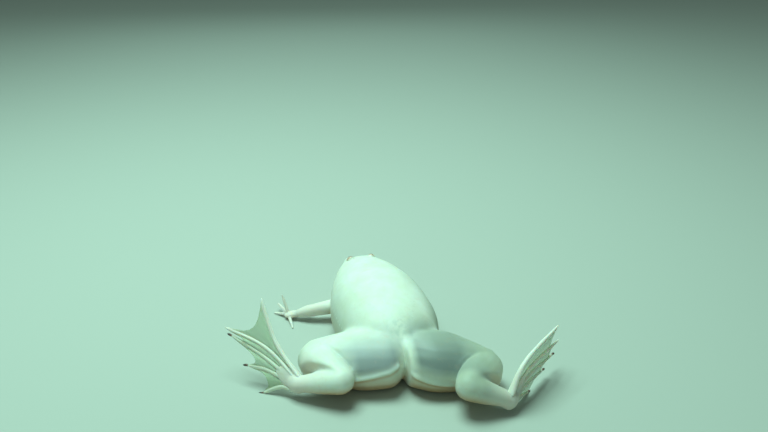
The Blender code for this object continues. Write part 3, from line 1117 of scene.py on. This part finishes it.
@dataclass
class BodySkin:
    """One closed skin over head, trunk, arms and legs, with eye sockets, mouth and nostrils.

    The solids' flesh is grown together, so that no seam shows, and then drawn back to its size.
    """

    feet: tuple[WebbedFoot, ...]
    hands: tuple[Hand, ...]
    flesh: tuple[str, ...] = (
        "head", "torso", "upper_arm_left", "upper_arm_right", "forearm_left", "forearm_right",
        "thigh_left", "thigh_right", "shank_left", "shank_right", "tarsus_left", "tarsus_right",
    )
    growth: Growth = Growth(grow=0.35, voxel=0.62, smooth_steps=14, surplus=0.05)
    zones: SkinZones = SkinZones()
    face_y: float = 67.0
    face_half: float = 19.0
    face_floor: float = 5.0
    face_steps: int = 3
    neck_y: float = 64.0
    neck_half: float = 20.0
    neck_width: float = 3.5
    rump_spots: tuple[tuple[float, float, float, float], ...] = (
        (-9.0, 5.0, 25.0, 6.0), (9.0, 3.0, 25.0, 6.0), (-17.0, 9.0, 24.0, 5.0), (18.0, 5.0, 24.0, 5.0),
        (0.0, 1.0, 21.0, 5.0), (-24.0, 18.0, 12.0, 4.0), (24.0, 12.0, 12.0, 4.0), (0.5, -9.0, 12.0, 5.5),
        (0.5, -12.0, 7.0, 4.5), (0.5, -8.0, 17.0, 4.5), (0.5, -4.0, 20.0, 4.5),
    )
    thigh_iron: tuple[Ramp, Ramp, Ramp] = (Ramp(6, 10), Ramp(31, 25), Ramp(14, 8))
    thigh_share: float = 0.6
    trunk_iron: tuple[Ramp, Ramp] = (Ramp(4, 12), Ramp(60, 54))
    trunk_share: float = 0.9
    iron_least: float = 0.02
    iron_steps: int = 60
    iron_swell: float = 0.25
    mouth_back: tuple[float, float] = (70.0, 14.2)
    mouth_front: tuple[float, float] = (90.0, 17.2)
    mouth_fade: Ramp = Ramp(68.5, 72.5)
    mouth_width: float = 0.42
    mouth_depth: float = 0.55
    lip_off: float = 1.1
    lip_width: float = 0.7
    lip_height: float = 0.16
    nostril_at: Point = (1.7, 86.6, 24.7)
    nostril_size: float = 0.62
    nostril_depth: float = 0.85
    rim_off: float = 1.3
    rim_width: float = 0.5
    rim_height: float = 0.06
    feeler_at: Point = (7.7, 82.4, 24.5)
    feeler_size: float = 0.7
    feeler_height: float = 0.35
    lid_near: Ramp = Ramp(EYE_RADIUS + 1.4, EYE_RADIUS)
    lid_draw: float = 0.6
    lid_gap: float = 0.06
    least_away: float = 0.1
    creases: tuple[tuple[tuple[str, str], Point, Point], ...] = (
        (("thigh_left", "shank_left"), (-38.5, 13.8, 9.6), (13.2, -20.0, 1.8)),
        (("thigh_right", "shank_right"), (34.6, -12.4, 9.6), (-20.9, -11.3, 3.6)),
    )  # two solids, the knee between them, and the way from it towards the vent
    crease_length: float = 30.0
    crease_from: Ramp = Ramp(5, 11)
    crease_near: Ramp = Ramp(2.2, 1.2)
    crease_width: float = 1.1
    crease_depth: float = 0.6
    thigh_folds: tuple[tuple[Point, ...], ...] = (
        ((-27.0, -5.6, 8.9), (-24.1, -7.7, 9.7), (-21.8, -8.8, 10.3), (-15.8, -10.1, 11.6),
         (-9.6, -10.6, 12.9), (-6.1, -9.4, 14.0), (-4.2, -7.4, 15.1)),
        ((21.0, -18.6, 7.2), (16.9, -19.0, 7.7), (12.1, -18.4, 8.4), (6.7, -16.8, 9.4),
         (2.2, -14.1, 10.8), (0.4, -11.0, 12.4)),
    )
    fold_height: float = 0.95
    fold_width: float = 1.1
    fold_rise: Ramp = Ramp(0, 1.2)
    fold_fall: Ramp = Ramp(0, 0.8)
    obj: bpy.types.Object = field(init=False)

    def build(self, nodes: dict[str, bpy.types.Object], material: bpy.types.Material) -> bpy.types.Object:
        """Builds and dresses the skin.

        Args:
            nodes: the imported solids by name.
            material: the skin's finish.

        Returns:
            The skin.
        """
        knobs = [foot.ankle() for foot in self.feet] + [foot.sole() for foot in self.feet]
        knobs += [hand.knob() for hand in self.hands]
        self.obj = self.growth.wrap("frog_skin", [nodes[name] for name in self.flesh], knobs)
        self.refine_face()
        self.iron()
        self.carve_face()
        self.crease_legs(nodes)
        self.raise_thigh_folds()
        self.zones.store(self.obj, [foot.instep for foot in self.feet])
        finish_piece(self.obj, material, "skin", *self.flesh)
        return self.obj

    def refine_face(self) -> None:
        """Gives the face a finer mesh than the trunk."""
        mesh = self.obj.data
        select_only(self.obj)
        for parts in (mesh.polygons, mesh.edges, mesh.vertices):
            parts.foreach_set("select", [False] * len(parts))
        for polygon in mesh.polygons:
            x, y = swing(polygon.center.x / MM, polygon.center.y / MM + VENT_TO_BELLY, -BODY_TURN)
            high = polygon.center.z > self.face_floor * MM
            polygon.select = y > self.face_y and abs(x) < self.face_half and high
        bpy.ops.object.mode_set(mode="EDIT")
        bpy.ops.mesh.select_mode(type="FACE")
        bpy.ops.mesh.subdivide(number_cuts=1, smoothness=0.0)
        bpy.ops.object.mode_set(mode="OBJECT")
        apply_modifier(self.obj, "SMOOTH", factor=0.5, iterations=self.face_steps)

    def iron(self) -> None:
        """Irons out the neck's gap and the solids' facets and eases the thighs into the rump."""
        group = self.obj.vertex_groups.new(name="iron")
        co = coordinates(self.obj)
        x, y, _ = body_measure(co)
        near = bell(y - self.neck_y, self.neck_width)
        near[np.abs(x) > self.neck_half] = 0
        for *spot, radius in self.rump_spots:
            near = np.maximum(near, bell(distance(co, place(*spot)) / MM, radius))
        across, ahead = np.abs(co[:, 0] / MM), co[:, 1] / MM + VENT_TO_BELLY
        inner, outer, front = self.thigh_iron
        near = np.maximum(near, self.thigh_share * inner(across) * outer(across) * front(ahead))
        back, front = self.trunk_iron
        near = np.maximum(near, self.trunk_share * back(y) * front(y))
        for i in np.nonzero(near > self.iron_least)[0]:
            group.add([int(i)], float(near[i]), "REPLACE")
        apply_modifier(self.obj, "SMOOTH", factor=0.5, iterations=self.iron_steps, vertex_group="iron")
        # ironing draws the skin in, so it is filled again
        swell = (near * self.iron_swell * MM)[:, None]
        move_vertices(self.obj, coordinates(self.obj) + normals(self.obj) * swell)

    def carve_face(self) -> None:
        """Presses in the mouth line and nostrils and rounds the lips and eye rims."""
        co, no = coordinates(self.obj), normals(self.obj)
        x, y, z = body_measure(co)
        (back_y, back_z), (front_y, front_z) = self.mouth_back, self.mouth_front
        off = z - back_z - (y - back_y) * (front_z - back_z) / (front_y - back_y)
        fade = self.mouth_fade(y)
        fade[np.abs(x) > self.face_half] = 0
        lips = self.lip_height * bell(np.abs(off) - self.lip_off, self.lip_width)
        push = (lips - self.mouth_depth * bell(off, self.mouth_width)) * fade
        for side in Side:
            nostril, feeler = (
                on_body(at[0] * side.sign, *at[1:]) for at in (self.nostril_at, self.feeler_at)
            )
            away = distance(co, nostril) / MM
            push -= self.nostril_depth * bell(away, self.nostril_size)
            push += self.rim_height * bell(away - self.rim_off, self.rim_width)
            push += self.feeler_height * bell(distance(co, feeler) / MM, self.feeler_size)
        co = co + no * (push * MM)[:, None]
        for side in Side:
            out = co - np.array(on_body(EYE_AT[0] * side.sign, *EYE_AT[1:]))
            away = np.linalg.norm(out, axis=1) / MM
            near = self.lid_near(away)
            drawn = (away - EYE_RADIUS) * (1 - self.lid_draw * near ** 0.5)
            target = EYE_RADIUS + np.maximum(drawn, self.lid_gap)
            shift = np.where(near > 0, (target - away) / np.maximum(away, self.least_away), 0)
            co = co + out * shift[:, None]
        move_vertices(self.obj, co)

    def crease_legs(self, nodes: dict[str, bpy.types.Object]) -> None:
        """Deepens the line where each shank lies against its thigh.

        Args:
            nodes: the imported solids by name.
        """
        co, no = coordinates(self.obj), normals(self.obj)
        push = np.zeros(len(co))
        for names, knee, inwards in self.creases:
            at = np.array(place(*knee))
            reach = (co - at) @ np.array(Vector(inwards).normalized()) / MM
            close = distance(co, at) < self.crease_length * MM
            near = np.nonzero(close & (reach > self.crease_from.start))[0]
            away = []
            for name in names:
                corners = [nodes[name].matrix_world @ v.co for v in nodes[name].data.vertices]
                tree = BVHTree.FromPolygons(corners, [p.vertices[:] for p in nodes[name].data.polygons])
                away.append(np.array([tree.find_nearest(co[i])[3] for i in near]) / MM)
            line = bell(away[0] - away[1], self.crease_width) * self.crease_near(np.maximum(*away))
            push[near] = np.maximum(push[near], line * self.crease_from(reach[near]))
        move_vertices(self.obj, co - no * (push * self.crease_depth * MM)[:, None])

    def raise_thigh_folds(self) -> None:
        """Raises the low fold of skin that runs under each thigh to the vent."""
        co, no = coordinates(self.obj), normals(self.obj)
        push = np.zeros(len(co))
        for fold in self.thigh_folds:
            points = [np.array(place(*p)) for p in fold]
            away = np.full(len(co), np.inf)
            fade = np.zeros(len(co))
            for k, (a, b) in enumerate(zip(points, points[1:])):
                t = np.clip((co - a) @ (b - a) / ((b - a) @ (b - a)), 0, 1)
                gap = np.linalg.norm(co - a - t[:, None] * (b - a), axis=1)
                closer = gap < away
                away[closer] = gap[closer]
                along = k + t[closer]
                fade[closer] = self.fold_rise(along) * self.fold_fall(len(points) - 1 - along)
            push += self.fold_height * fade * bell(away / MM, self.fold_width)
        move_vertices(self.obj, co + no * (push * MM)[:, None])


@dataclass
class Eye:
    """A small round eye on top of the head, looking up and outwards."""

    side: Side
    turn_out: float = 0.5
    turn_forward: float = 0.52
    iris_reach: float = 0.86
    iris_slope: float = 0.12
    iris_sink: float = 0.26
    pupil_reach: float = 0.29
    pupil_slope: float = 0.06
    pupil_sink: float = 0.1
    cornea_rise: float = 0.05
    cornea_lap: float = 0.04
    segments: int = 48
    rings: int = 32

    def axis(self) -> Vector:
        """The way the eye looks."""
        way = Vector((self.side.sign * math.sin(self.turn_out), self.turn_forward, math.cos(self.turn_out)))
        return (Matrix.Rotation(BODY_TURN, 3, "Z") @ way).normalized()

    def build(self, eye: bpy.types.Material, cornea: bpy.types.Material) -> None:
        """Builds the eyeball with its sunken iris and the clear cornea over it.

        Args:
            eye: finish of the eyeball.
            cornea: finish of the clear front.
        """
        name = f"eye_{self.side.value}"
        middle = on_body(EYE_AT[0] * self.side.sign, *EYE_AT[1:])
        put = Matrix.Translation(middle) @ self.axis().to_track_quat("Z", "Y").to_matrix().to_4x4()
        ball, front = (
            primitive(
                bpy.ops.mesh.primitive_uv_sphere_add, f"{name}_{part}",
                segments=self.segments, ring_count=self.rings, radius=radius * MM,
            )
            for part, radius in (("ball", EYE_RADIUS), ("cornea", EYE_RADIUS + self.cornea_rise))
        )
        co = coordinates(ball)
        reach = np.hypot(co[:, 0], co[:, 1]) / (EYE_RADIUS * MM)
        reach = np.where(co[:, 2] > 0, reach, 1.0)
        sink = self.iris_sink * Ramp(self.iris_reach, self.iris_reach - self.iris_slope)(reach)
        sink += self.pupil_sink * Ramp(self.pupil_reach, self.pupil_reach - self.pupil_slope)(reach)
        co[:, 2] -= sink * MM
        move_vertices(ball, co)
        store_attribute(ball, "reach", reach)
        ball.data.transform(put)
        finish_piece(ball, eye, "eye", name)
        cut = math.sqrt(1 - (self.iris_reach + self.cornea_lap) ** 2) * EYE_RADIUS * MM
        edit_whole(
            front, bpy.ops.mesh.bisect, plane_co=(0, 0, cut), plane_no=(0, 0, 1),
            clear_inner=True, use_fill=True,
        )
        front.data.transform(put)
        edit_whole(front, bpy.ops.mesh.normals_make_consistent, inside=False)
        finish_piece(front, cornea, "eye")


@dataclass
class LateralLine:
    """Rows of short raised stitches that sense the water, along the back and round the eyes."""

    length: float = 1.4
    width: float = 0.4
    height: float = 0.07
    step: float = 3.1
    back_row: tuple[tuple[float, float], ...] = (
        (11.0, 6.0), (20.0, 10.0), (32.0, 14.2), (46.0, 15.0), (60.0, 12.6), (70.0, 8.6),
    )  # forward and right
    flank_row: tuple[tuple[float, float], ...] = (
        (20.0, 16.5), (30.0, 17.0), (44.0, 18.0), (58.0, 19.0), (71.0, 20.0),
    )  # forward and up
    above: float = 60.0
    beside: float = 45.0
    eye_ring: float = 4.6
    eye_stitches: int = 9
    eye_from: float = -60.0
    eye_step: float = 30.0
    eye_size: float = 0.5

    def spots(self) -> list[tuple[Point, Vector, bool]]:
        """Works out the right side's stitches.

        Returns:
            For each the place it starts from, the way its row runs, and whether it drops from above.
        """
        out: list[tuple[Point, Vector, bool]] = []
        for rows, drops in ((self.back_row, True), (self.flank_row, False)):
            y = rows[-1][0]
            while y > rows[0][0]:
                off = spline(rows, y)[0]
                slope = spline(rows, y - 1.0)[0] - off
                if drops:
                    out.append(((off, y, self.above), Vector((slope, -1.0, 0)), drops))
                else:
                    out.append(((self.beside, y, off), Vector((0, -1.0, slope)), drops))
                y -= self.step
        for k in range(self.eye_stitches):
            a = math.radians(self.eye_from + self.eye_step * k)
            x, y = EYE_AT[0] + self.eye_ring * math.cos(a), EYE_AT[1] + self.eye_ring * math.sin(a)
            out.append(((x, y, self.above), Vector((-math.sin(a), math.cos(a), 0)), True))
        return out

    def build(self, skin: bpy.types.Object, material: bpy.types.Material) -> None:
        """Sets every stitch on the skin and joins them.

        Args:
            skin: the surface they sit on.
            material: their finish.
        """
        pattern = primitive(
            bpy.ops.mesh.primitive_uv_sphere_add, "stitch", segments=10, ring_count=6, radius=MM,
        )
        pattern.data.transform(Matrix.Diagonal((self.length / 2, self.width / 2, self.height, 1.0)))
        pieces = []
        turn_body = Matrix.Rotation(BODY_TURN, 3, "Z")
        for (x, y, z), along, drops in self.spots():
            for sign in (-1, 1):
                way = Vector((0, 0, -1)) if drops else turn_body @ Vector((-sign, 0, 0))
                hit, point, normal, _ = skin.ray_cast(on_body(x * sign, y, z), way)
                if not hit:
                    continue
                runs = turn_body @ Vector((along.x * sign, along.y, along.z))
                across = normal.cross(runs).normalized()
                turn = Matrix((across, normal.cross(across), normal)).transposed().to_4x4()
                size = self.eye_size if abs(y - EYE_AT[1]) < self.eye_ring else 1.0
                piece = duplicate(pattern)
                piece.data.transform(Matrix.Translation(point) @ turn @ Matrix.Scale(size, 4))
                pieces.append(piece)
        bpy.data.objects.remove(pattern)
        finish_piece(join("lateral_line", pieces), material, "skin")


@dataclass(frozen=True)
class Lamp:
    """One soft square light aimed at the frog; lengths in metres and power in watts."""

    name: str
    at: Point
    side: float
    power: float
    colour: str
    aim: Point = (0.0, 0.0, 0.015)

    def build(self) -> None:
        """Sets the light up."""
        lamp = bpy.data.lights.new(self.name, "AREA")
        lamp.size = self.side
        lamp.energy = self.power
        lamp.color = linear(self.colour)[:3]
        obj = bpy.data.objects.new(self.name, lamp)
        bpy.context.scene.collection.objects.link(obj)
        obj.location = self.at
        obj.rotation_euler = (Vector(self.aim) - Vector(self.at)).to_track_quat("-Z", "Y").to_euler()


@dataclass
class Studio:
    """Pale floor, soft greenish light, as through water, and the camera at the photo's angle."""

    lamps: tuple[Lamp, ...] = (
        Lamp("key", (-0.13, 0.14, 0.75), 0.45, 7.5, "CCFFF0"),
        Lamp("fill", (-0.4, -0.7, 0.4), 0.8, 0.62, "C4F8EC"),
        Lamp("rim", (0.1, 0.8, 0.5), 0.6, 0.8, "D0FFF4"),
    )
    sky: str = "D2F6EA"
    sky_strength: float = 0.18
    floor_metres: float = 6.0
    lens: float = 40.0
    film_width: float = 36.0
    nearest_metres: float = 0.005
    camera_at: Point = (-90.75, -324.48, 220.89)
    pitch: float = -22.25
    yaw: float = 14.067

    def build(self) -> None:
        """Sets the floor, lights, world and camera."""
        floor = primitive(bpy.ops.mesh.primitive_plane_add, "floor", size=self.floor_metres)
        floor.data.materials.append(FloorFinish().build())
        for lamp in self.lamps:
            lamp.build()
        world = bpy.data.worlds.new("studio")
        bpy.context.scene.world = world
        world.use_nodes = True
        background = world.node_tree.nodes["Background"]
        background.inputs["Color"].default_value = linear(self.sky)
        background.inputs["Strength"].default_value = self.sky_strength
        camera = bpy.data.objects.new("camera", bpy.data.cameras.new("camera"))
        bpy.context.scene.collection.objects.link(camera)
        camera.data.lens = self.lens
        camera.data.sensor_width = self.film_width
        camera.data.clip_start = self.nearest_metres
        camera.location = place(*self.camera_at)
        camera.rotation_euler = Euler((math.radians(90 + self.pitch), 0.0, -math.radians(self.yaw)))
        bpy.context.scene.camera = camera
        bpy.context.scene.view_settings.view_transform = "Standard"


LEFT_FOOT = WebbedFoot(
    side=Side.LEFT, instep=(-49.7, 0.0, 6.8), facing=(-38.0, 27.0),
    toes=(
        ((7.3, -3.0), (15.7, -7.6)), ((15.5, 2.8), (26.5, 2.7)), ((18.5, 8.2), (37.9, 14.2)),
        ((19.0, 12.6), (42.2, 17.2)), ((14.0, 15.6), (26.0, 34.0)),
    ),
)
RIGHT_FOOT = WebbedFoot(
    side=Side.RIGHT, instep=(39.2, -33.4, 5.8), facing=(40.0, -4.0),
    toes=(
        ((9.0, -3.6), (17.7, -5.4)), ((14.6, 0.4), (31.0, -0.6)), ((15.6, 4.4), (40.0, 3.4)),
        ((13.6, 8.4), (45.5, 9.0)), ((8.6, 14.4), (42.0, 18.4)),
    ),
)
LEFT_HAND = Hand(side=Side.LEFT, wrist=(-38.9, 70.9, 3.4), elbow=(-30.3, 67.8, 6.0))
RIGHT_HAND = Hand(side=Side.RIGHT, wrist=(22.0, 82.0, 3.4), elbow=(24.5, 67.0, 5.6))
CLAWED_TOES = 3


def main() -> None:
    """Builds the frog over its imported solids."""
    logging.basicConfig(level=logging.INFO, format="%(message)s")
    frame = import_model()
    nodes = frame["nodes"]
    skin_finish, web_finish = AlbinoSkin().build(), WebMembrane().build()
    horn, eye_finish, cornea_finish = ClawHorn().build(), EyeFinish().build(), Cornea().build()
    feet, hands = (LEFT_FOOT, RIGHT_FOOT), (LEFT_HAND, RIGHT_HAND)
    skin = BodySkin(feet, hands).build(nodes, skin_finish)
    for foot in feet:
        foot.build(web_finish)
        for toe in range(CLAWED_TOES):
            ToeClaw(foot, toe).build(horn)
    for hand in hands:
        hand.build(nodes, skin_finish)
    for side in Side:
        Eye(side).build(eye_finish, cornea_finish)
    LateralLine().build(skin, AlbinoSkin(name="lateral_line_skin", depth=0.0).build())
    Studio().build()


if __name__ == "__main__":
    main()
